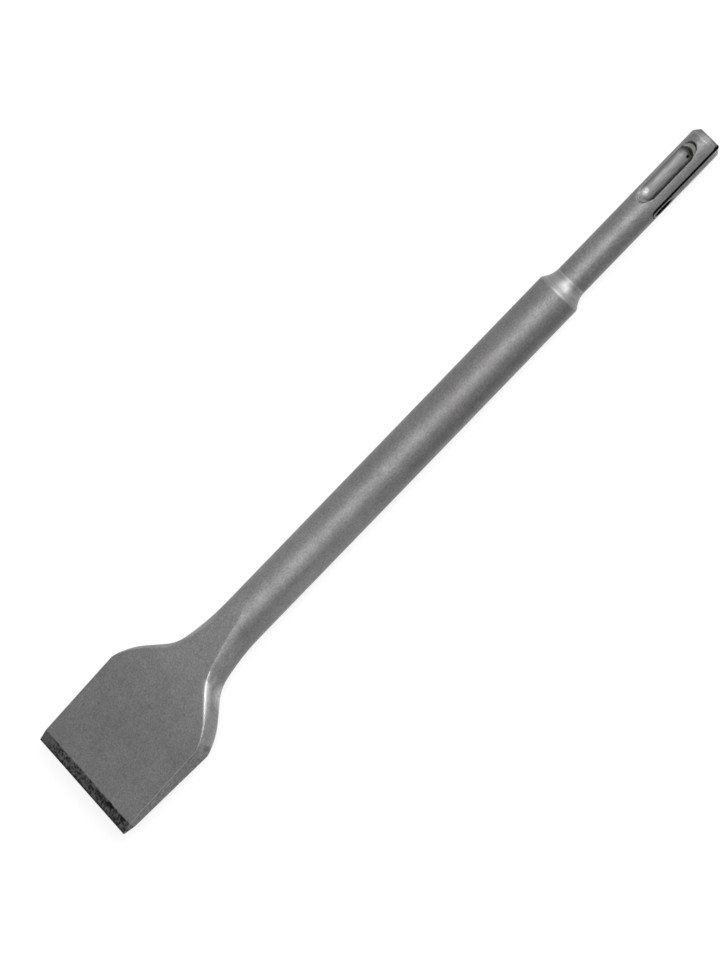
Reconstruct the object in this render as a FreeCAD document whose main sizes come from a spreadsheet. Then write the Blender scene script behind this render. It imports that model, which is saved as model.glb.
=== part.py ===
import FreeCAD, Part
import math
import os
import Sketcher

# One forged steel chisel. The origin is the centre of the shank's end face, +X runs along the tool
# axis to the cutting edge, +Y across the blade and +Z out of the blade's upper face.
# Lengths are in millimetres and angles in degrees.
SIZES = {
    "overall_length": 260.0,
    # The shank, which the machine's chuck takes.
    "shank_diameter": 10.0,
    "shank_length": 56.6,
    "end_chamfer_length": 1.84,
    "end_chamfer_depth": 1.5,
    "end_chamfer_round": 1.0,
    # The closed grooves, which the chuck's locking balls run in: a ball-ended trough in a shallow seat.
    "ball_radius": 3.45,
    "trough_depth": 2.4,
    "trough_start": 8.9,
    "trough_end": 23.0,
    "seat_start": 4.0,
    "seat_end": 27.4,
    "seat_width": 5.8,
    "seat_depth": 0.9,
    # How far the seat's wall leans out from the upright.
    "seat_wall_angle": 40.0,
    # The open grooves, which the chuck's driving keys run in.
    "key_width": 4.1,
    "key_depth": 2.0,
    "key_length": 27.8,
    "key_round": 0.6,
    # The round body.
    "body_diameter": 14.0,
    "shoulder_radius": 7.5,
    "shoulder_land_length": 0.6,
    "shoulder_land_depth": 0.22,
    # The neck and the flare. The radii and angles are those of the plan outline.
    "neck_radius": 70.0,
    "neck_angle": 12.5,
    "throat_radius": 12.4,
    "flare_angle": 43.0,
    "corner_radius": 23.4,
    # The blade: its forged sides stand proud by the trim until they are cut flat and parallel.
    "blade_length": 26.0,
    "blade_width": 40.4,
    "side_trim": 2.2,
    "face_angle": 4.44,
    # The ground bevels at the cutting edge.
    "bevel_length": 3.5,
    "bevel_thickness": 3.5,
    "edge_thickness": 0.25,
}

# Cuts run this far past the metal that they take away.
OVERRUN = 2.0
# A feature that changes the volume by less than this, in cubic millimetres, has missed the metal.
LEAST_CHANGE = 1e-3
# An edge within this distance of a level lies on it.
SAME_LEVEL = 1e-4
# The web fills the blank between its two rounded flanks, and reaches this share of a flank's radius
# into each, where the flank is still higher than the web.
WEB_REACH = 0.1
WEB_HEIGHT = 0.99
# The end of a key groove is one arc, whose radius is this share of the groove's width.
KEY_END_SHARE = 0.52

# Places along the axis and across it, as formulas over the sheet.
SHANK = "Sizes.shank_diameter / 2"
BODY = "Sizes.body_diameter / 2"
TIP = "Sizes.overall_length"
BEVEL = "(Sizes.overall_length - Sizes.bevel_length)"
FULL_WIDTH = "(Sizes.overall_length - Sizes.blade_length)"
BLANK = "(Sizes.blade_width / 2 + Sizes.side_trim)"
END_ANGLE = "atan(Sizes.end_chamfer_depth / Sizes.end_chamfer_length)"
END_TANGENT = f"Sizes.end_chamfer_round * tan({END_ANGLE} / 2)"
SHOULDER_RISE = f"({BODY} - Sizes.shoulder_land_depth - {SHANK})"
SHOULDER_RUN = f"sqrt({SHOULDER_RISE} * (2 * Sizes.shoulder_radius - {SHOULDER_RISE}))"
SHOULDER = f"(Sizes.shank_length + {SHOULDER_RUN})"
THROAT_SHIFT = "(Sizes.neck_radius - Sizes.throat_radius)"
THROAT_CENTRE_UP = f"({BODY} + Sizes.neck_radius - {THROAT_SHIFT} * cos(Sizes.neck_angle))"
CORNER_CENTRE_UP = f"({BLANK} - Sizes.corner_radius)"
FLARE_RUN = (
    f"((cos(Sizes.flare_angle) * ({CORNER_CENTRE_UP} - {THROAT_CENTRE_UP})"
    " + Sizes.throat_radius + Sizes.corner_radius) / sin(Sizes.flare_angle))"
)
THROAT_CENTRE = f"({FULL_WIDTH} - {FLARE_RUN})"
NECK = f"({THROAT_CENTRE} - {THROAT_SHIFT} * sin(Sizes.neck_angle))"


def make_sheet(doc):
    """The driving sizes, one to a row, each with its own alias."""
    sheet = doc.addObject("Spreadsheet::Sheet", "Sizes")
    for row, (name, size) in enumerate(SIZES.items(), start=1):
        sheet.set(f"A{row}", name)
        sheet.set(f"B{row}", str(size))
        sheet.setAlias(f"B{row}", name)
    doc.recompute()
    return sheet


def number(owner, formula):
    """What a formula over the sheet comes to now."""
    result = owner.evalExpression(str(formula))
    return float(getattr(result, "Value", result))


def origin_part(body, role):
    return next(item for item in body.Origin.OriginFeatures if item.Role == role)


def new_sketch(body, name, role, offset="0"):
    """A sketch on one of the body's own planes, moved along the plane's normal by a formula."""
    sketch = body.newObject("Sketcher::SketchObject", name)
    sketch.AttachmentSupport = [(origin_part(body, role), "")]
    sketch.MapMode = "FlatFace"
    sketch.setExpression("AttachmentOffset.Base.z", offset)
    body.Document.recompute()
    return sketch


def arc_between(start, end, radius, left):
    """The arc of the given radius that leaves start and turns left, or right, into end."""
    chord = end - start
    half = chord.Length / 2
    across = FreeCAD.Vector(-chord.y, chord.x, 0).normalize()
    if not left:
        across = -across
    centre = start + chord / 2 + across * math.sqrt(max(radius * radius - half * half, 0))
    circle = Part.Circle(centre, FreeCAD.Vector(0, 0, 1), radius)
    first, last = (start, end) if left else (end, start)
    return Part.ArcOfCircle(circle, circle.parameter(first), circle.parameter(last))


def draw(sketch, places, turns, closed=True):
    """Draw lines and arcs through places, which are pairs of formulas.

    turns holds (radius, side) for each curved stretch, by the number of the place that it leaves.
    Every place and radius stays bound to its formula."""
    points = [FreeCAD.Vector(number(sketch, x), number(sketch, y), 0) for x, y in places]
    count = len(points) if closed else len(points) - 1
    ends = []
    for index in range(count):
        start, end = points[index], points[(index + 1) % len(points)]
        if index in turns:
            radius, side = turns[index]
            curve = arc_between(start, end, number(sketch, radius), side == "left")
            shape = sketch.addGeometry(curve, False)
            bind(sketch, Sketcher.Constraint("Radius", shape, number(sketch, radius)), radius)
            ends.append((shape, 1, 2) if side == "left" else (shape, 2, 1))
        else:
            ends.append((sketch.addGeometry(Part.LineSegment(start, end), False), 1, 2))
    joints = range(count) if closed else range(count - 1)
    for index in joints:
        here, after = ends[index], ends[(index + 1) % count]
        sketch.addConstraint(Sketcher.Constraint("Coincident", here[0], here[2], after[0], after[1]))
    for index, (shape, first, last) in enumerate(ends):
        pin(sketch, shape, first, places[index])
    if not closed:
        pin(sketch, ends[-1][0], ends[-1][2], places[-1])
    sketch.Document.recompute()


def pin(sketch, shape, end, place):
    """Hold one end of a curve at a pair of formulas."""
    for kind, formula in zip(("DistanceX", "DistanceY"), place):
        bind(sketch, Sketcher.Constraint(kind, -1, 1, shape, end, number(sketch, formula)), formula)


def bind(sketch, constraint, formula):
    index = sketch.addConstraint(constraint)
    sketch.setExpression(f"Constraints[{index}]", formula)


def metal(body):
    """The body's volume so far."""
    return body.Tip.Shape.Volume if body.Tip else 0


def finish_feature(body, feature, before, gains):
    """Recompute a feature, and make sure that it adds or takes metal as it should."""
    body.Tip = feature
    body.Document.recompute()
    change = feature.Shape.Volume - before
    if (change > 0) != gains or abs(change) < LEAST_CHANGE:
        raise RuntimeError(f"{feature.Name} changes the volume by {change:.4f}")
    return feature


def revolve(body, name, kind, sketch, axis):
    before = metal(body)
    feature = body.newObject(kind, name)
    feature.Profile = sketch
    feature.ReferenceAxis = axis
    return finish_feature(body, feature, before, gains=kind.endswith("Revolution"))


def pocket(body, name, sketch, length=None, reverse=False, lean=None):
    """Cut a sketch away: to a length on one side, or right through on both. The walls can lean out."""
    before = metal(body)
    feature = body.newObject("PartDesign::Pocket", name)
    feature.Profile = sketch
    feature.Reversed = reverse
    if length is None:
        feature.SideType = "Symmetric"
        feature.Type = "ThroughAll"
    else:
        feature.setExpression("Length", length)
    if lean is not None:
        feature.setExpression("TaperAngle", lean)
    return finish_feature(body, feature, before, gains=False)


def mirror(body, name, originals, role, gains):
    before = metal(body)
    feature = body.newObject("PartDesign::Mirrored", name)
    feature.Originals = originals
    feature.MirrorPlane = (origin_part(body, role), [""])
    return finish_feature(body, feature, before, gains)


def round_edges(body, name, radius, wanted):
    """Round the edges of the body so far that the test picks."""
    base = body.Tip
    names = [f"Edge{i}" for i, edge in enumerate(base.Shape.Edges, start=1) if wanted(edge)]
    if not names:
        raise RuntimeError(f"{name} finds no edge")
    feature = body.newObject("PartDesign::Fillet", name)
    feature.Base = (base, names)
    feature.setExpression("Radius", radius)
    body.Tip = feature
    body.Document.recompute()
    return feature


def make_bar(body):
    """The turned bar: shank, hollow shoulder and round body."""
    sketch = new_sketch(body, "BarOutline", "XY_Plane")
    places = [
        ("0", "0"),
        (NECK, "0"),
        (NECK, BODY),
        (f"{SHOULDER} + Sizes.shoulder_land_length", BODY),
        (SHOULDER, f"{BODY} - Sizes.shoulder_land_depth"),
        ("Sizes.shank_length", SHANK),
        ("0", SHANK),
    ]
    draw(sketch, places, {4: ("Sizes.shoulder_radius", "right")})
    revolve(body, "Bar", "PartDesign::Revolution", sketch, (sketch, ["H_Axis"]))


def make_end(body):
    """The chamfer around the end face, rounded where it meets the shank."""
    sketch = new_sketch(body, "EndOutline", "XY_Plane")
    outer = f"{SHANK} + {OVERRUN}"
    places = [
        ("0", f"{SHANK} - Sizes.end_chamfer_depth"),
        (f"Sizes.end_chamfer_length - {END_TANGENT} * cos({END_ANGLE})",
         f"{SHANK} - {END_TANGENT} * sin({END_ANGLE})"),
        (f"Sizes.end_chamfer_length + {END_TANGENT}", SHANK),
        (f"Sizes.end_chamfer_length + {END_TANGENT}", outer),
        (f"-{OVERRUN}", outer),
        (f"-{OVERRUN}", f"{SHANK} - Sizes.end_chamfer_depth"),
    ]
    draw(sketch, places, {1: ("Sizes.end_chamfer_round", "right")})
    revolve(body, "EndChamfer", "PartDesign::Groove", sketch, (sketch, ["H_Axis"]))


def flank_places(inset):
    """The plan outline from the neck to the cutting edge, drawn in by an inset."""
    neck = f"(Sizes.neck_radius + {inset})"
    throat = f"(Sizes.throat_radius + {inset})"
    corner = f"(Sizes.corner_radius - {inset})"
    return [
        (NECK, f"{BODY} - {inset}"),
        (f"{NECK} + {neck} * sin(Sizes.neck_angle)",
         f"{BODY} + Sizes.neck_radius - {neck} * cos(Sizes.neck_angle)"),
        (f"{THROAT_CENTRE} + {throat} * sin(Sizes.flare_angle)",
         f"{THROAT_CENTRE_UP} - {throat} * cos(Sizes.flare_angle)"),
        (f"{FULL_WIDTH} - {corner} * sin(Sizes.flare_angle)",
         f"{CORNER_CENTRE_UP} + {corner} * cos(Sizes.flare_angle)"),
        (FULL_WIDTH, f"{BLANK} - {inset}"),
        (TIP, f"{BLANK} - {inset}"),
    ]


def flank_turns(inset):
    return {
        0: (f"Sizes.neck_radius + {inset}", "left"),
        1: (f"Sizes.throat_radius + {inset}", "left"),
        3: (f"Sizes.corner_radius - {inset}", "right"),
    }


def make_blank(body):
    """The spread end of the bar: its metal flows out to two rounded flanks with a web between."""
    path = new_sketch(body, "FlankPath", "XY_Plane")
    draw(path, flank_places(BODY), flank_turns(BODY), closed=False)
    section = new_sketch(body, "FlankSection", "YZ_Plane", NECK)
    draw(section, [("0", f"-{BODY}"), (BODY, "0"), ("0", BODY)], {0: (BODY, "left"), 1: (BODY, "left")})
    before = metal(body)
    flank = body.newObject("PartDesign::AdditivePipe", "Flank")
    flank.Profile = section
    flank.Spine = (path, [])
    finish_feature(body, flank, before, gains=True)
    inset = f"({BODY} * {1 - WEB_REACH})"
    web_sketch = new_sketch(body, "WebOutline", "XY_Plane")
    places = flank_places(inset) + [(TIP, "0"), (NECK, "0")]
    draw(web_sketch, places, flank_turns(inset))
    before = metal(body)
    web = body.newObject("PartDesign::Pad", "Web")
    web.Profile = web_sketch
    web.SideType = "Symmetric"
    web.setExpression("Length", f"2 * {WEB_HEIGHT} * {BODY}")
    finish_feature(body, web, before, gains=True)
    mirror(body, "OtherHalf", [flank, web], "XZ_Plane", gains=True)


def make_faces(body):
    """The two flat faces, which close in towards the cutting edge, and the bevels that end them."""
    top = f"({BODY} + {OVERRUN})"
    half = "Sizes.bevel_thickness / 2"
    sketch = new_sketch(body, "FaceCut", "XZ_Plane")
    places = [
        (BEVEL, half),
        (TIP, "Sizes.edge_thickness / 2"),
        (f"{TIP} + {OVERRUN}", "Sizes.edge_thickness / 2"),
        (f"{TIP} + {OVERRUN}", top),
        (f"{BEVEL} - ({top} - {half}) / tan(Sizes.face_angle)", top),
    ]
    draw(sketch, places, {})
    upper = pocket(body, "UpperFace", sketch)
    mirror(body, "LowerFace", [upper], "XY_Plane", gains=False)


def make_sides(body):
    """The parallel sides of the blade, cut flat from the rounded flanks."""
    side = "Sizes.blade_width / 2"
    outer = f"{BLANK} + {OVERRUN}"
    sketch = new_sketch(body, "SideCut", "XY_Plane")
    far = f"{TIP} + {OVERRUN}"
    draw(sketch, [(NECK, side), (far, side), (far, outer), (NECK, outer)], {})
    near = pocket(body, "Side", sketch)
    mirror(body, "OtherSide", [near], "XZ_Plane", gains=False)


def make_ball_grooves(body):
    """The closed grooves above and below the shank."""
    centre = f"({SHANK} - Sizes.trough_depth + Sizes.ball_radius)"
    floor = f"({SHANK} - Sizes.trough_depth)"
    trough_sketch = new_sketch(body, "TroughOutline", "XZ_Plane")
    places = [
        ("Sizes.trough_start - Sizes.ball_radius", centre),
        ("Sizes.trough_start", floor),
        ("Sizes.trough_end", floor),
        ("Sizes.trough_end + Sizes.ball_radius", centre),
    ]
    turn = ("Sizes.ball_radius", "left")
    draw(trough_sketch, places, {0: turn, 2: turn})
    trough = revolve(body, "Trough", "PartDesign::Groove", trough_sketch, (trough_sketch, ["Edge4"]))
    wall = "Sizes.seat_depth * tan(Sizes.seat_wall_angle)"
    half = f"(Sizes.seat_width / 2 - {wall})"
    seat_sketch = new_sketch(body, "SeatOutline", "XY_Plane", f"{SHANK} - Sizes.seat_depth")
    places = [
        ("Sizes.seat_start + Sizes.seat_width / 2", f"-{half}"),
        ("Sizes.seat_end - Sizes.seat_width / 2", f"-{half}"),
        (f"Sizes.seat_end - {wall}", "0"),
        ("Sizes.seat_end - Sizes.seat_width / 2", half),
        ("Sizes.seat_start + Sizes.seat_width / 2", half),
        (f"Sizes.seat_start + {wall}", "0"),
    ]
    turn = (half, "left")
    draw(seat_sketch, places, {1: turn, 2: turn, 4: turn, 5: turn})
    seat = pocket(body, "Seat", seat_sketch, f"Sizes.seat_depth + {OVERRUN}", reverse=True,
                  lean="Sizes.seat_wall_angle")
    mirror(body, "LowerBallGroove", [trough, seat], "XY_Plane", gains=False)


def make_key_grooves(body):
    """The open grooves on both sides of the shank, with rounded ends."""
    half = "Sizes.key_width / 2"
    radius = f"(Sizes.key_width * {KEY_END_SHARE})"
    bend = f"Sizes.key_length - {radius} + sqrt({radius} ^ 2 - ({half}) ^ 2)"
    sketch = new_sketch(body, "KeyOutline", "XZ_Plane", f"Sizes.key_depth - {SHANK}")
    places = [(f"-{OVERRUN}", f"-{half}"), (bend, f"-{half}"), (bend, half), (f"-{OVERRUN}", half)]
    draw(sketch, places, {1: (radius, "left")})
    groove = pocket(body, "KeyGroove", sketch, f"Sizes.key_depth + {OVERRUN}")
    mirror(body, "OtherKeyGroove", [groove], "XZ_Plane", gains=False)
    floor = number(body, f"{SHANK} - Sizes.key_depth")
    shank_end = number(body, "Sizes.shank_length")

    def borders_floor(edge):
        middle = edge.valueAt((edge.FirstParameter + edge.LastParameter) / 2)
        ends = [vertex.X for vertex in edge.Vertexes]
        level = abs(abs(middle.y) - floor) < SAME_LEVEL and edge.BoundBox.YLength < SAME_LEVEL
        return level and max(ends) < shank_end and max(ends) > OVERRUN

    round_edges(body, "KeyRound", "Sizes.key_round", borders_floor)


def check(doc):
    """Stop on any failed object, and on any shape that isn't one valid solid."""
    for item in doc.Objects:
        if "Invalid" in item.State or "Error" in item.State:
            raise RuntimeError(f"{item.Name} failed: {item.State}")
    for item in doc.Objects:
        if item.TypeId != "PartDesign::Body":
            continue
        shape = item.Shape
        if shape.isNull() or not shape.isValid() or len(shape.Solids) != 1:
            raise RuntimeError(f"{item.Label} isn't one valid solid")


def main():
    doc = FreeCAD.newDocument("FlatChisel")
    make_sheet(doc)
    body = doc.addObject("PartDesign::Body", "FlatChisel")
    body.Label = "flat_chisel"
    make_bar(body)
    make_blank(body)
    make_faces(body)
    make_sides(body)
    make_ball_grooves(body)
    make_key_grooves(body)
    make_end(body)
    doc.recompute()
    check(doc)
    os.makedirs("parts", exist_ok=True)
    body.Shape.exportStep(f"parts/{body.Label}.step")
    box = body.Shape.optimalBoundingBox()
    lengths = " x ".join(f"{length:.2f}" for length in (box.XLength, box.YLength, box.ZLength))
    print(f"{body.Label}: {body.Shape.Volume:.0f} cubic millimetres, {lengths} mm")


main()
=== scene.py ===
import math

import bpy
from mathutils import Matrix, Vector


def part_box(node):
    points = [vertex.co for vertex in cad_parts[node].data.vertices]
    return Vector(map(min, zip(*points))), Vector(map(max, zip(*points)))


def grey(level, warmth=0.0, green=0.0):
    """A grey, with this share more red and less blue, and this share more green."""
    return (level * (1 + warmth), level * (1 + green), level * (1 - warmth), 1)


# Lengths are in metres. X runs along the tool from the shank's end face to the cutting edge, Y across
# the blade, and Z out of its upper face. A pair of numbers says where a border starts and where it is
# complete, and a zone's three numbers are its start, its end and how far its borders reach.

# The camera stands over the blade's upper face, turned this far towards +Y about the tool's axis and
# leaning this far towards the shank. In the picture the tool runs up to the right at the third angle,
# and the picture's long side takes in the last one.
CAMERA_ROUND_AXIS = math.radians(25.91)
CAMERA_LEAN = math.radians(4.92)
AXIS_IN_PICTURE = math.radians(45.95)
CAMERA_DISTANCE = 1.507
LONG_SIDE_ANGLE = math.radians(10.448)
# The point of the tool's axis beside the picture's centre, and how far off the centre the axis lies.
AIM_ALONG_AXIS = 0.13995
AIM_OFF_AXIS = 0.00381
# The nearest and the farthest that the camera sees.
CAMERA_NEAREST = 0.01
CAMERA_FARTHEST = 50

# The middle of the tool. The floor is centred under it, and the lamps point at it.
MIDDLE = (0.13, 0, 0)
# Each lamp's name, place, width and power.
LAMPS = (
    ("overhead", (0.13, 0.35, 0.96), 0.6, 2.6),
    ("shank_side", (-0.49, 0.25, 0.75), 0.75, 8.0),
    ("low", (-0.83, 0.09, 0.26), 0.4, 1.5),
)

# How bright the studio is low down, from the -Y side to the +Y side, and overhead, and the share of
# that which is left past the cutting edge. Below them are the directions between which each changes.
LOW_BRIGHTNESS = (0.97, 0.04)
OVERHEAD_BRIGHTNESS = 0.95
PAST_EDGE_SHARE = 0.35
SIDE_TO_SIDE = (-0.8, 0.8)
LOW_TO_OVERHEAD = (0.05, 0.8)
MIDDLE_TO_PAST_EDGE = (0.1, 0.8)

# The floor's width and colour, and the share of plain white in what is seen of it: the rest shows the
# shadow.
FLOOR_WIDTH = 8
FLOOR_COLOUR = (0.93, 0.93, 0.93, 1)
FLOOR_WHITENESS = 0.8

# Most of a noise's values lie between these. The wider pair gives softer patches.
SOFT_NOISE = (0.3, 0.7)
FIRM_NOISE = (0.35, 0.65)
# The share of a patch's size within which it has its full strength.
PATCH_CORE = 0.4
# The sockets of a node that mixes colours.
MIX_SHARE = 0
MIX_FIRST = 6
MIX_SECOND = 7
MIX_RESULT = 2


class Nodes:
    """A short way to write the nodes of a material or of the studio."""

    def __init__(self, owner):
        self.tree = owner.node_tree

    def new(self, kind, inputs=None, **settings):
        node = self.tree.nodes.new(kind)
        for name, value in settings.items():
            setattr(node, name, value)
        for name, value in (inputs or {}).items():
            if isinstance(value, bpy.types.NodeSocket):
                self.tree.links.new(value, node.inputs[name])
            else:
                node.inputs[name].default_value = value
        return node

    def link(self, value, node, socket):
        """Lead a value into a node that was there from the start."""
        self.tree.links.new(value, self.tree.nodes[node].inputs[socket])

    def noise(self, at, scale, detail=3.0, roughness=0.55):
        inputs = {"Vector": at, "Scale": scale, "Detail": detail, "Roughness": roughness}
        return self.new("ShaderNodeTexNoise", inputs).outputs["Fac"]

    def math(self, operation, first, second=0.0):
        return self.new("ShaderNodeMath", {0: first, 1: second}, operation=operation).outputs[0]

    def times(self, first, second):
        return self.math("MULTIPLY", first, second)

    def plus(self, first, second):
        return self.math("ADD", first, second)

    def minus(self, first, second):
        return self.math("SUBTRACT", first, second)

    def most(self, first, second):
        return self.math("MAXIMUM", first, second)

    def absolute(self, value):
        return self.math("ABSOLUTE", value)

    def spread(self, value, low, high, out_low=0.0, out_high=1.0, smooth=False):
        inputs = {"Value": value, "From Min": low, "From Max": high, "To Min": out_low, "To Max": out_high}
        kind = "SMOOTHSTEP" if smooth else "LINEAR"
        return self.new("ShaderNodeMapRange", inputs, interpolation_type=kind, clamp=True).outputs["Result"]

    def between(self, value, low, high, border):
        """1 from low to high, with soft borders, and 0 outside."""
        rise = self.spread(value, low - border, low + border)
        return self.times(rise, self.spread(value, high + border, high - border))

    def split(self, vector):
        parts = self.new("ShaderNodeSeparateXYZ", {"Vector": vector}).outputs
        return parts["X"], parts["Y"], parts["Z"]

    def scaled(self, vector, shares):
        inputs = {0: vector, 1: shares}
        return self.new("ShaderNodeVectorMath", inputs, operation="MULTIPLY").outputs["Vector"]

    def measured(self, operation, *vectors):
        """A number from one or two vectors, such as the distance between two places."""
        inputs = dict(enumerate(vectors))
        return self.new("ShaderNodeVectorMath", inputs, operation=operation).outputs["Value"]

    def patches(self, at, spots):
        """Round patches, each with a centre, a size and a strength."""
        mask = 0.0
        for centre, size, strength in spots:
            away = self.measured("DISTANCE", at, centre)
            mask = self.most(self.spread(away, size, size * PATCH_CORE, 0.0, strength), mask)
        return mask

    def colour(self, share, first, second):
        """The first colour where the share is 0, and the second where it is 1."""
        inputs = {MIX_SHARE: share, MIX_FIRST: first, MIX_SECOND: second}
        return self.new("ShaderNodeMix", inputs, data_type="RGBA").outputs[MIX_RESULT]

    def shaded(self, tone, mask, change):
        """The tone, lighter or darker by a share of itself where the mask is 1."""
        return self.times(tone, self.plus(self.times(mask, change), 1.0))


def make_camera():
    lean = CAMERA_LEAN
    turn = CAMERA_ROUND_AXIS
    to_camera = Vector((-math.sin(lean), math.cos(lean) * math.sin(turn), math.cos(lean) * math.cos(turn)))
    across = Vector((0, math.cos(turn), -math.sin(turn)))
    along = to_camera.cross(across)
    right = along * math.cos(AXIS_IN_PICTURE) + across * math.sin(AXIS_IN_PICTURE)
    up = along * math.sin(AXIS_IN_PICTURE) - across * math.cos(AXIS_IN_PICTURE)
    data = bpy.data.cameras.new("camera")
    data.lens = data.sensor_width / 2 / math.tan(LONG_SIDE_ANGLE / 2)
    data.clip_start = CAMERA_NEAREST
    data.clip_end = CAMERA_FARTHEST
    camera = bpy.data.objects.new("camera", data)
    aim = Vector((AIM_ALONG_AXIS, 0, 0)) - across * AIM_OFF_AXIS
    turned = Matrix((right, up, to_camera)).transposed().to_4x4()
    camera.matrix_world = Matrix.Translation(aim + to_camera * CAMERA_DISTANCE) @ turned
    bpy.context.scene.collection.objects.link(camera)
    bpy.context.scene.camera = camera


def make_lamp(name, place, width, power):
    data = bpy.data.lights.new(name, "AREA")
    data.shape = "DISK"
    data.size = width
    data.energy = power
    lamp = bpy.data.objects.new(name, data)
    lamp.location = place
    lamp.rotation_mode = "QUATERNION"
    lamp.rotation_quaternion = (Vector(MIDDLE) - Vector(place)).to_track_quat("-Z", "Y")
    bpy.context.scene.collection.objects.link(lamp)


def make_world():
    """A studio that is bright overhead and low on the -Y side, and dark low on the +Y side. It is dimmer
    past the cutting edge."""
    world = bpy.data.worlds.new("studio")
    world.use_nodes = True
    make = Nodes(world)
    ahead, sideways, upwards = make.split(make.new("ShaderNodeTexCoord").outputs["Generated"])
    low = make.spread(sideways, *SIDE_TO_SIDE, *LOW_BRIGHTNESS)
    overhead = make.spread(upwards, *LOW_TO_OVERHEAD, smooth=True)
    level = make.plus(low, make.times(make.minus(OVERHEAD_BRIGHTNESS, low), overhead))
    past_edge = make.spread(ahead, *MIDDLE_TO_PAST_EDGE, 1.0, PAST_EDGE_SHARE, smooth=True)
    make.link(make.times(level, past_edge), "Background", "Color")
    bpy.context.scene.world = world


def make_floor_paper():
    """Pale paper, which is seen mostly as plain white and keeps a faint shadow."""
    material = bpy.data.materials.new("floor_paper")
    material.use_nodes = True
    make = Nodes(material)
    shader = material.node_tree.nodes["Principled BSDF"]
    shader.inputs["Base Color"].default_value = FLOOR_COLOUR
    shader.inputs["Roughness"].default_value = 1
    shader.inputs["Specular IOR Level"].default_value = 0
    path = make.new("ShaderNodeLightPath").outputs
    seen = make.most(path["Is Camera Ray"], path["Is Glossy Ray"])
    seen = make.most(seen, path["Is Transmission Ray"])
    white = make.new("ShaderNodeEmission", {"Strength": 1.0}).outputs["Emission"]
    share = make.times(seen, FLOOR_WHITENESS)
    mix = make.new("ShaderNodeMixShader", {0: share, 1: shader.outputs["BSDF"], 2: white})
    make.link(mix.outputs["Shader"], "Material Output", "Surface")
    return material


def make_floor(height):
    bpy.ops.mesh.primitive_plane_add(size=FLOOR_WIDTH, location=(MIDDLE[0], MIDDLE[1], height))
    floor = bpy.context.object
    floor.name = "floor"
    floor.data.materials.append(make_floor_paper())


# The Z of a normal, up or down, at which a surface starts to count as level and at which it fully does.
LEVEL = (0.80, 0.97)
# Noises that more than one layer uses, by how many of their cells lie in a metre.
GRAIN = 1900.0
STAINS = 900.0
RINGS = 1800.0
PATCHINESS = 1300.0
# Bright steel, for worn edges and for painted highlights.
BRIGHT = grey(0.43)
# Rings run round the tool, and drawn lines and stains run along it.
ROUND_THE_TOOL = (1, 0.05, 0.05)
ALONG_THE_TOOL = (0.12, 1, 1)

# The hollow shoulder's start and end, and how far its borders reach.
SHOULDER = (0.0567, 0.06205)
SHOULDER_BORDER = 0.0001
# The shank's grooves lie inside this radius and before this place along the shank. The ball grooves
# start past the end face. The key grooves lie near the height of the axis, far out to the sides.
GROOVE_RADIUS = (0.00492, 0.00484)
GROOVE_END = (0.0287, 0.0283)
BALL_START = (0.0024, 0.0026)
KEY_HEIGHT = (0.00215, 0.00208)
KEY_OUT = (0.0028, 0.0029)
# The flare's ridge starts at once and fades towards the blade, and is weaker on the -Y side. The neck's
# ridge runs up to it.
FLARE_START = (0.2112, 0.2118)
FLARE_FADES = (0.2268, 0.2125)
FLARE_SIDES = (-0.004, 0.004)
FLARE_FAR_SHARE = 0.2
NECK_RIDGE = (0.172, 0.2107, 0.0005)
# The radius to which edges are rounded: everywhere, on the flare's ridge, and how much more on the
# neck's ridge.
EDGE_RADIUS = 0.0003
FLARE_RADIUS = 0.0022
NECK_MORE_RADIUS = 0.0005


class Steel(Nodes):
    """The steel's nodes, with what its layers share."""

    def __init__(self, material):
        super().__init__(material)
        self.find_place()
        self.find_textures()
        self.find_zones()
        self.round_edges()

    def find_place(self):
        """The place on the tool, and the way the surface faces there."""
        self.at = self.new("ShaderNodeTexCoord").outputs["Object"]
        self.along, self.across, self.up = self.split(self.at)
        self.height = self.absolute(self.up)
        off_axis = self.new("ShaderNodeCombineXYZ", {"Y": self.across, "Z": self.up}).outputs["Vector"]
        self.radius = self.measured("LENGTH", off_axis)
        self.normal = self.new("ShaderNodeNewGeometry").outputs["Normal"]
        self.facing_x, self.facing_y, self.facing_z = self.split(self.normal)
        self.level = self.spread(self.absolute(self.facing_z), *LEVEL)
        self.aslant = self.minus(1.0, self.level)

    def find_textures(self):
        self.grain = self.noise(self.at, GRAIN, detail=2.0)
        self.stains = self.noise(self.at, STAINS)
        self.rings = self.noise(self.scaled(self.at, ROUND_THE_TOOL), RINGS, detail=2.0)
        self.patchiness = self.noise(self.at, PATCHINESS)

    def find_zones(self):
        self.shoulder = self.between(self.along, *SHOULDER, SHOULDER_BORDER)
        groove = self.times(self.spread(self.radius, *GROOVE_RADIUS), self.spread(self.along, *GROOVE_END))
        self.ball = self.times(groove, self.spread(self.along, *BALL_START))
        beside_axis = self.spread(self.absolute(self.across), *KEY_OUT)
        beside_axis = self.times(self.spread(self.height, *KEY_HEIGHT), beside_axis)
        self.key = self.times(groove, beside_axis)
        flare = self.times(self.spread(self.along, *FLARE_START), self.spread(self.along, *FLARE_FADES))
        self.flare = self.times(flare, self.spread(self.across, *FLARE_SIDES, FLARE_FAR_SHARE, 1.0))
        self.neck = self.between(self.along, *NECK_RIDGE)

    def round_edges(self):
        """The normal with rounded edges, and how well it agrees with the plain one: 1 away from edges."""
        radius = self.spread(self.flare, 0.0, 1.0, EDGE_RADIUS, FLARE_RADIUS)
        radius = self.plus(radius, self.times(self.neck, NECK_MORE_RADIUS))
        self.rounded = self.new("ShaderNodeBevel", {"Radius": radius}, samples=8).outputs["Normal"]
        self.agreement = self.measured("DOT_PRODUCT", self.rounded, self.normal)


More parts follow.
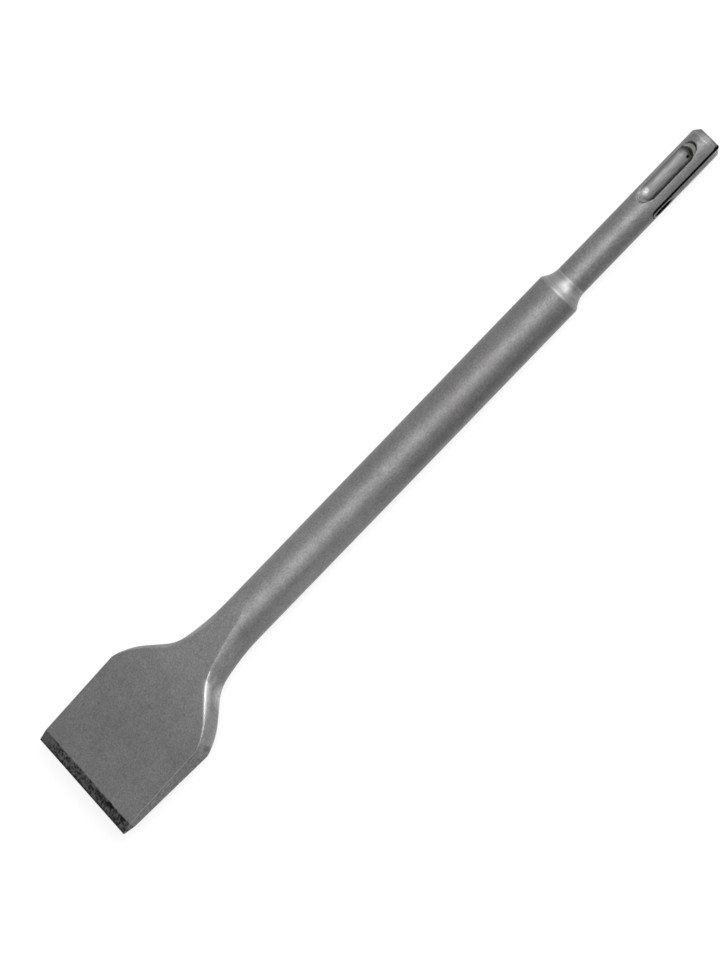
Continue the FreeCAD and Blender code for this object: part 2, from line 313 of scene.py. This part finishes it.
# The blasted steel's two greys, the cells of its clouds and spots in a metre, and how far its spots and
# grain change it.
WARM_STEEL = (0.191, 0.187, 0.186, 1)
COOL_STEEL = (0.212, 0.212, 0.212, 1)
CLOUDS = 70.0
SPOTS = 260.0
SPOT_TONES = (0.95, 1.05)
GRAIN_TONES = (0.79, 1.18)


def blasted_metal(make):
    """Broad cloudy patches with soft spots."""
    clouds = make.noise(make.at, CLOUDS, detail=4.0, roughness=0.65)
    steel = make.colour(make.spread(clouds, *FIRM_NOISE), WARM_STEEL, COOL_STEEL)
    return make.scaled(steel, make.spread(make.noise(make.at, SPOTS), *SOFT_NOISE, *SPOT_TONES))


# Places on the forging, and by what share each is lighter or darker than the rest of the steel. The shares
# for the face, the neck's half, the flanks and the throat are painted light and shade.
FLAT_STARTS = (0.182, 0.198)
FACE_DARKENS = (0.198, 0.240)
FACE_PAINTED_LIGHT_AND_SHADE = (0.20, -0.09)
NECK_HALF = (0.142, 0.193, 0.006)
NECK_HALF_PAINTED_LIGHT = 0.10
FLANK = (0.210, 0.2262, 0.0015)
FLANK_LIGHTENS = (0.218, 0.2235)
FLANK_PAINTED_LIGHT = (0.20, 0.42)
THROAT = (0.197, 0.208, 0.003)
THROAT_HEIGHT = (0.0015, 0.0038)
THROAT_PAINTED_LIGHT = 0.45
BLADE_SIDES = (0.2245, 0.230)
BLADE_SIDE_CHANGES = (-0.40, -0.02)


def forging_tones_and_painted_light(make, steel):
    """A fine grain over all. The face is painted lighter at the neck's flat and painted darker towards the
    edge, as light and shade. The neck's half and the flanks are painted lighter, the throat has painted
    light, and the blade's sides are darker in patches."""
    tone = make.spread(make.grain, *SOFT_NOISE, *GRAIN_TONES)
    # Painted light and shade on the face: lighter at the neck, darker towards the edge.
    painted_face = make.times(make.spread(make.along, *FLAT_STARTS, smooth=True), make.level)
    tone = make.shaded(tone, painted_face, make.spread(make.along, *FACE_DARKENS, *FACE_PAINTED_LIGHT_AND_SHADE, smooth=True))
    # Painted light on the neck's half, on the flanks and on the throat.
    tone = make.shaded(tone, make.between(make.along, *NECK_HALF), NECK_HALF_PAINTED_LIGHT)
    flank_light = make.times(make.between(make.along, *FLANK), make.aslant)
    tone = make.shaded(tone, flank_light, make.spread(make.along, *FLANK_LIGHTENS, *FLANK_PAINTED_LIGHT))
    throat_light = make.times(make.between(make.along, *THROAT), make.aslant)
    throat_light = make.times(throat_light, make.spread(make.height, *THROAT_HEIGHT))
    tone = make.shaded(tone, throat_light, THROAT_PAINTED_LIGHT)
    sides = make.times(make.spread(make.along, *BLADE_SIDES), make.aslant)
    tone = make.shaded(tone, sides, make.spread(make.stains, *FIRM_NOISE, *BLADE_SIDE_CHANGES))
    return make.scaled(steel, tone)


# The ground band at the cutting edge: where it starts, and how far that line wanders.
BAND_START = (0.2563, 0.2567)
BAND_WANDERS = (-0.0002, 0.0002)
# Its dark and pale spots, its pale -Y corner, the dark line at the edge itself, and the black blots on
# its +Y half.
BURNT_NOISE = 1100.0
BURNT_SPOTS = (0.40, 0.62)
BURNT_DARK = grey(0.036, -0.02, -0.02)
BURNT_PALE = grey(0.175, -0.02, -0.02)
CORNER = (-0.0150, -0.0178)
CORNER_SHARE = 0.8
CORNER_GREY = grey(0.155, -0.02, -0.01)
TIP = (0.2592, 0.2597)
TIP_SHARE = 0.6
TIP_GREY = grey(0.02)
BLOT_NOISE = 520.0
BLOTS = (0.46, 0.56)
BLOT_SHARE = 0.9
BLOTS_ALONG = (0.2590, 0.2575)
BLOTS_ACROSS = (-0.004, 0.002)
BLOT_GREY = grey(0.008)


def ground_band(make, steel):
    """The ground band at the cutting edge is burnt dark."""
    ragged = make.spread(make.stains, *SOFT_NOISE, *BAND_WANDERS)
    band = make.spread(make.plus(make.along, ragged), *BAND_START)
    spots = make.spread(make.noise(make.at, BURNT_NOISE, detail=4.0), *BURNT_SPOTS)
    burnt = make.colour(spots, BURNT_DARK, BURNT_PALE)
    burnt = make.colour(make.spread(make.across, *CORNER, 0.0, CORNER_SHARE), burnt, CORNER_GREY)
    burnt = make.colour(make.spread(make.along, *TIP, 0.0, TIP_SHARE), burnt, TIP_GREY)
    blots = make.spread(make.noise(make.at, BLOT_NOISE, detail=2.0), *BLOTS, 0.0, BLOT_SHARE)
    blots = make.times(blots, make.spread(make.along, *BLOTS_ALONG))
    blots = make.times(blots, make.spread(make.across, *BLOTS_ACROSS))
    burnt = make.colour(blots, burnt, BLOT_GREY)
    return make.colour(band, steel, burnt)


# The greys of the shoulder's fine rings, its plainer bands, and the painted highlights on it. The bands are
# the ring beside the body, the hollow's narrow end, and the stripe beside the shank.
SHOULDER_RINGS = (grey(0.215, 0.01), grey(0.305))
SHOULDER_BANDS = (
    ((0.0608, 0.0612), grey(0.235)),
    ((0.0581, 0.0578), grey(0.23)),
    ((0.0574, 0.0571), grey(0.27)),
)
SHOULDER_HIGHLIGHTS = (((0.0593, 0.0041, 0.0042), 0.0020, 0.9), ((0.0614, 0.0052, 0.0048), 0.0018, 0.35))
SHOULDER_HIGHLIGHT_GREY = grey(0.36)


def turned_shoulder(make, steel):
    """The hollow shoulder is turned bare, with fine rings, and has painted highlights."""
    turned = make.colour(make.spread(make.rings, *SOFT_NOISE), *SHOULDER_RINGS)
    for border, level in SHOULDER_BANDS:
        turned = make.colour(make.spread(make.along, *border), turned, level)
    # Painted highlights on the shoulder.
    turned = make.colour(make.patches(make.at, SHOULDER_HIGHLIGHTS), turned, SHOULDER_HIGHLIGHT_GREY)
    return make.colour(make.shoulder, steel, turned)


# The side that the soft lines of painted shade and painted highlight are on, by its normal's Y, and each
# line by its normal's Z.
LINES_SIDE = (0.2, 0.4)
SHADE_LINE = (0.11, 0.51, 0.10)
HIGHLIGHT_LINE = (0.46, 0.76, 0.08)
# How strong the painted shade line is on the shank's half of the bar, and what of that is left on the shank
# and on the shoulder.
SHADE_LINE_STARTS = (0.138, 0.124)
SHADE_LINE_SHARE = 0.32
ON_SHANK_SHARE = 0.8
ON_SHOULDER_SHARE = 0.35
# The painted highlight line's two stretches, on the neck's half and at the shank's end, and how strong they
# are.
HIGHLIGHT_LINE_ON_NECK = (0.130, 0.194, 0.004)
HIGHLIGHT_LINE_ON_SHANK = (0.030, 0.024)
SHANK_END_STRENGTH = 1.3
HIGHLIGHT_LINE_SHARE = 0.11
SHADE_BLACK = grey(0.0)


def painted_side_lines(make, steel):
    """One side of the bar has a soft line of painted shade on the shank's half, and a line of painted
    highlight on the neck's half and at the shank's end."""
    side = make.spread(make.facing_y, *LINES_SIDE)
    line = make.times(make.between(make.facing_z, *SHADE_LINE), side)
    line = make.times(line, make.spread(make.along, *SHADE_LINE_STARTS, 0.0, SHADE_LINE_SHARE))
    line = make.times(line, make.spread(make.along, *SHOULDER, ON_SHANK_SHARE, 1.0))
    line = make.times(line, make.spread(make.shoulder, 0.0, 1.0, 1.0, ON_SHOULDER_SHARE))
    steel = make.colour(line, steel, SHADE_BLACK)
    line = make.times(make.between(make.facing_z, *HIGHLIGHT_LINE), side)
    shank_end = make.spread(make.along, *HIGHLIGHT_LINE_ON_SHANK, 0.0, SHANK_END_STRENGTH)
    line = make.times(line, make.most(make.between(make.along, *HIGHLIGHT_LINE_ON_NECK), shank_end))
    return make.colour(make.times(line, HIGHLIGHT_LINE_SHARE), steel, BRIGHT)


# The end chamfer, its rings' greys, and its rim beside the end face, which is darker on the -Y side.
CHAMFER = (0.0021, 0.0018)
CHAMFER_RINGS = (grey(0.13, 0.01), grey(0.24))
RIM = (0.0015, 0.0009)
RIM_SIDE = (-0.0004, -0.0020)
RIM_SHARE = 0.5
RIM_GREY = grey(0.08)


def turned_chamfer(make, steel):
    """The end chamfer and the end face are turned bare too."""
    turned = make.colour(make.spread(make.rings, *FIRM_NOISE), *CHAMFER_RINGS)
    rim = make.spread(make.across, *RIM_SIDE, 0.0, RIM_SHARE)
    rim = make.times(make.spread(make.along, *RIM), rim)
    turned = make.colour(rim, turned, RIM_GREY)
    return make.colour(make.spread(make.along, *CHAMFER), steel, turned)


# A ball groove's drawn metal.
DRAWN_NOISE = 2200.0
DRAWN_METAL = (grey(0.16, 0.02), grey(0.23))
# Its walls that face the cutting edge or the -Y side are painted dark, as shade. A noise blurs their
# border. The shade is weaker on the -Y half and near the surface, and broken up by a flake noise.
WALL = (0.40, 0.65)
WALL_BLUR = 0.3
WALL_SIDE = (-0.0012, 0.0006)
WALL_SIDE_SHARE = 0.45
WALL_TOP = (0.0040, 0.0044)
WALL_TOP_SHARE = 0.85
FLAKE_NOISE = 1600.0
FLAKES = (0.35, 0.6)
FLAKE_SHARE = 0.6
WALL_SHADE_GREY = grey(0.022, 0.12)
# A pit in the upper ball groove.
PIT = (0.0083, 0.00045, 0.0028)
PIT_RADIUS = (0.0007, 0.0004)
PIT_GREY = grey(0.004)


def ball_grooves(make, steel):
    """The metal in the ball grooves is drawn along them, and painted dark with shade on their steep walls.
    """
    drawn = make.noise(make.scaled(make.at, ALONG_THE_TOOL), DRAWN_NOISE, detail=2.0)
    metal = make.colour(make.spread(drawn, *SOFT_NOISE), *DRAWN_METAL)
    ahead = make.most(make.facing_x, make.times(make.facing_y, -1.0))
    blur = make.times(make.noise(make.at, STAINS, detail=2.0), WALL_BLUR)
    wall = make.spread(make.plus(ahead, blur), *WALL)
    wall = make.times(wall, make.spread(make.across, *WALL_SIDE, WALL_SIDE_SHARE, 1.0, smooth=True))
    wall = make.times(wall, make.spread(make.radius, *WALL_TOP, 1.0, WALL_TOP_SHARE))
    flakes = make.noise(make.at, FLAKE_NOISE, detail=2.0)
    wall = make.times(wall, make.spread(flakes, *FLAKES, FLAKE_SHARE, 1.0))
    # Painted shade on the grooves' steep walls.
    metal = make.colour(wall, metal, WALL_SHADE_GREY)
    pit = make.spread(make.measured("DISTANCE", make.at, PIT), *PIT_RADIUS)
    metal = make.colour(pit, metal, PIT_GREY)
    return make.colour(make.ball, steel, metal)


# A key groove's metal is painted lighter near the surface and darker deeper down, as shade. Its corners,
# painted black as shade, lie deep, above and below its middle, but the upper one starts past the end face.
# Its closed end is painted black too.
KEY_SHADED_METAL = (grey(0.18), grey(0.38))
KEY_SURFACE = (0.0038, 0.0041)
CORNER_DEPTH = (0.0041, 0.0038)
UPPER_CORNER = (0.0013, 0.0016)
UPPER_CORNER_START = (0.0012, 0.0020)
LOWER_CORNER = (-0.0006, -0.0009)
CLOSED_END = (-0.75, -0.92)
CORNER_SHADE_BLACK = grey(0.005)
# A patch of painted shade in the +Y key groove, drawn out along the tool. Its X is scaled by
# ALONG_THE_TOOL.
KEY_SHADE_PATCH = (0.00284, 0.0040, -0.00205)
KEY_SHADE_PATCH_RADIUS = (0.00055, 0.00035)


def key_grooves(make, steel):
    """The key grooves are painted bright near the surface, and black with shade in their corners."""
    upper = make.spread(make.along, *UPPER_CORNER_START)
    upper = make.times(make.spread(make.up, *UPPER_CORNER), upper)
    corner = make.most(upper, make.spread(make.up, *LOWER_CORNER))
    corner = make.times(make.spread(make.radius, *CORNER_DEPTH), corner)
    corner = make.most(corner, make.spread(make.facing_x, *CLOSED_END))
    shade_patch = make.measured("DISTANCE", make.scaled(make.at, ALONG_THE_TOOL), KEY_SHADE_PATCH)
    corner = make.most(corner, make.spread(shade_patch, *KEY_SHADE_PATCH_RADIUS))
    # Painted shade, deeper down and black in the corners.
    metal = make.colour(make.spread(make.radius, *KEY_SURFACE), *KEY_SHADED_METAL)
    metal = make.colour(corner, metal, CORNER_SHADE_BLACK)
    return make.colour(make.key, steel, metal)


# How far the rounded normal has to turn for the painted shade on the neck's ridge, and how strong that
# shade is.
NECK_SHADE_TURN = (0.998, 0.97)
NECK_SHADE_SHARE = 0.15
NECK_SHADE_GREY = grey(0.10)


def shaded_neck_ridge(make, steel):
    """The neck's ridge is painted a little darker, as shade."""
    neck_shade = make.times(make.spread(make.agreement, *NECK_SHADE_TURN), make.neck)
    return make.colour(make.times(neck_shade, NECK_SHADE_SHARE), steel, NECK_SHADE_GREY)


# The painted highlight beside the flare's ridge: how high on the flank, from where to where along it, and
# how strong it is on the +Y side.
FLANK_HIGHLIGHT_HEIGHT = (0.0030, 0.0042)
FLANK_HIGHLIGHT_START = (0.2088, 0.2098)
FLANK_HIGHLIGHT_END = (0.2190, 0.2155)
FLANK_HIGHLIGHT_SHARE = 0.85
FLANK_HIGHLIGHT_NOISE = (0.30, 0.60)
FLANK_HIGHLIGHT_WEAKEST = 0.6


def painted_flank_highlight(make, steel):
    """The flank is painted light beside the ridge, as a highlight."""
    flank_highlight = make.times(make.spread(make.height, *FLANK_HIGHLIGHT_HEIGHT), make.aslant)
    flank_highlight = make.times(flank_highlight, make.spread(make.along, *FLANK_HIGHLIGHT_START))
    flank_highlight = make.times(flank_highlight, make.spread(make.along, *FLANK_HIGHLIGHT_END))
    flank_highlight = make.times(flank_highlight, make.spread(make.across, *FLARE_SIDES, 0.0, FLANK_HIGHLIGHT_SHARE))
    flank_highlight = make.times(flank_highlight, make.spread(make.patchiness, *FLANK_HIGHLIGHT_NOISE, FLANK_HIGHLIGHT_WEAKEST, 1.0))
    return make.colour(flank_highlight, steel, BRIGHT)


# How far the rounded normal has to turn for a worn edge and for the painted highlight on the flare's ridge.
# Edges are worn most on the blade, and the ridge's painted highlight is strongest where it starts.
WORN_EDGE = (0.985, 0.90)
WORN_MORE = (0.226, 0.232)
WORN_SHARES = (0.06, 0.6)
RIDGE_HIGHLIGHT_TURN = (0.995, 0.96)
RIDGE_WEAKENS = (0.2134, 0.2160)
RIDGE_SHARE = 0.60
# Patches of painted highlight on the +Y flank, and others at the blade end of the upper ball groove.
FLANK_HIGHLIGHT_PATCHES = (((0.2103, 0.0080, 0.0051), 0.0028, 0.9), ((0.2125, 0.0119, -0.0010), 0.0045, 0.9))
GROOVE_HIGHLIGHT_PATCHES = (((0.0234, -0.0015, 0.0031), 0.0012, 0.45), ((0.0248, -0.0022, 0.0043), 0.0010, 0.9))
PATCH_NOISE = (0.30, 0.55)


def wear_and_painted_highlights(make):
    """Where the steel is worn bright at its edges, and painted bright as highlights on the ridge where the
    flare starts and in rough patches.
    """
    wear = make.times(make.minus(1.0, make.neck), make.spread(make.along, *WORN_MORE, *WORN_SHARES))
    edge = make.times(make.spread(make.agreement, *WORN_EDGE), wear)
    # Painted highlight on the flare's ridge, on the flank side only.
    ridge = make.times(make.spread(make.agreement, *RIDGE_HIGHLIGHT_TURN), make.times(make.aslant, make.flare))
    ridge = make.times(ridge, make.spread(make.along, *RIDGE_WEAKENS, 1.0, RIDGE_SHARE))
    # Painted highlights in patches on the flank and in the ball groove.
    highlight_patches = make.times(make.patches(make.at, FLANK_HIGHLIGHT_PATCHES), make.aslant)
    highlight_patches = make.most(highlight_patches, make.times(make.patches(make.at, GROOVE_HIGHLIGHT_PATCHES), make.ball))
    highlight_patches = make.times(highlight_patches, make.spread(make.patchiness, *PATCH_NOISE))
    return make.most(make.most(edge, ridge), highlight_patches)


# A patch of painted shade where the +Y flank meets the blade's side, drawn out in height.
NOSE_SHADE = (0.2256, 0.0200, 0.0)
NOSE_SHADE_SHAPE = (1, 1, 0.45)
NOSE_SHADE_RADIUS = (0.0014, 0.0006)
NOSE_SHADE_SHARE = 0.6
NOSE_SHADE_GREY = grey(0.06)


def painted_nose_shade(make, steel):
    # Painted shade at the nose, where the flank meets the blade's side.
    nose_shade = make.measured("DISTANCE", make.scaled(make.at, NOSE_SHADE_SHAPE), NOSE_SHADE)
    return make.colour(make.spread(nose_shade, *NOSE_SHADE_RADIUS, 0.0, NOSE_SHADE_SHARE), steel, NOSE_SHADE_GREY)


# The blasted steel's roughness, and how much smoother the turned shoulder, the worn places and the painted
# highlights are.
GLOSS_NOISE = 300.0
ROUGHNESS = (0.50, 0.60)
SHOULDER_POLISH = 0.07
WORN_POLISH = 0.2


def roughness(make, wear_and_highlights):
    rough = make.spread(make.noise(make.at, GLOSS_NOISE), *SOFT_NOISE, *ROUGHNESS)
    polish = make.most(make.times(make.shoulder, SHOULDER_POLISH), make.times(wear_and_highlights, WORN_POLISH))
    return make.minus(rough, polish)


# The depth of the shallow forging waves and of the blasted grain.
WAVES = 120.0
WAVE_DEPTH = 0.00003
GRAIN_DEPTH = 0.00004


def relief(make):
    """Rounded edges, with shallow forging waves under the blasted grain."""
    waves = make.noise(make.at, WAVES, detail=2.0)
    waves = make.new("ShaderNodeBump", {"Height": waves, "Distance": WAVE_DEPTH, "Normal": make.rounded})
    normal = waves.outputs["Normal"]
    grain = make.new("ShaderNodeBump", {"Height": make.grain, "Distance": GRAIN_DEPTH, "Normal": normal})
    return grain.outputs["Normal"]


def make_steel():
    """The tool's steel, coloured layer over layer from the forging to its last wear, with painted light and
    shade among the layers.
    """
    material = bpy.data.materials.new("blasted_steel")
    material.use_nodes = True
    material.node_tree.nodes["Principled BSDF"].inputs["Metallic"].default_value = 1
    make = Steel(material)
    steel = blasted_metal(make)
    steel = forging_tones_and_painted_light(make, steel)
    steel = ground_band(make, steel)
    steel = turned_shoulder(make, steel)
    steel = painted_side_lines(make, steel)
    steel = turned_chamfer(make, steel)
    steel = ball_grooves(make, steel)
    steel = key_grooves(make, steel)
    steel = shaded_neck_ridge(make, steel)
    steel = painted_flank_highlight(make, steel)
    wear_and_highlights = wear_and_painted_highlights(make)
    steel = make.colour(wear_and_highlights, steel, BRIGHT)
    steel = painted_nose_shade(make, steel)
    make.link(steel, "Principled BSDF", "Base Color")
    make.link(roughness(make, wear_and_highlights), "Principled BSDF", "Roughness")
    make.link(relief(make), "Principled BSDF", "Normal")
    return material


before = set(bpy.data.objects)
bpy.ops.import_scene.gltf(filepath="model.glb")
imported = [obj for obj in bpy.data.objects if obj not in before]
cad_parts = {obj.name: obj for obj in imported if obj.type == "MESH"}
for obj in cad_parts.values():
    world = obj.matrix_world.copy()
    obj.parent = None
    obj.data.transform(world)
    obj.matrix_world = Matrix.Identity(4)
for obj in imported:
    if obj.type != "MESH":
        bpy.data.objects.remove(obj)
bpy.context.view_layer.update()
scene = bpy.context.scene
scene.view_settings.view_transform = "Standard"

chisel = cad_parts["flat_chisel"]
chisel.material_slots[0].material = make_steel()
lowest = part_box("flat_chisel")[0]
make_floor(lowest.z)
make_world()
for lamp in LAMPS:
    make_lamp(*lamp)
make_camera()
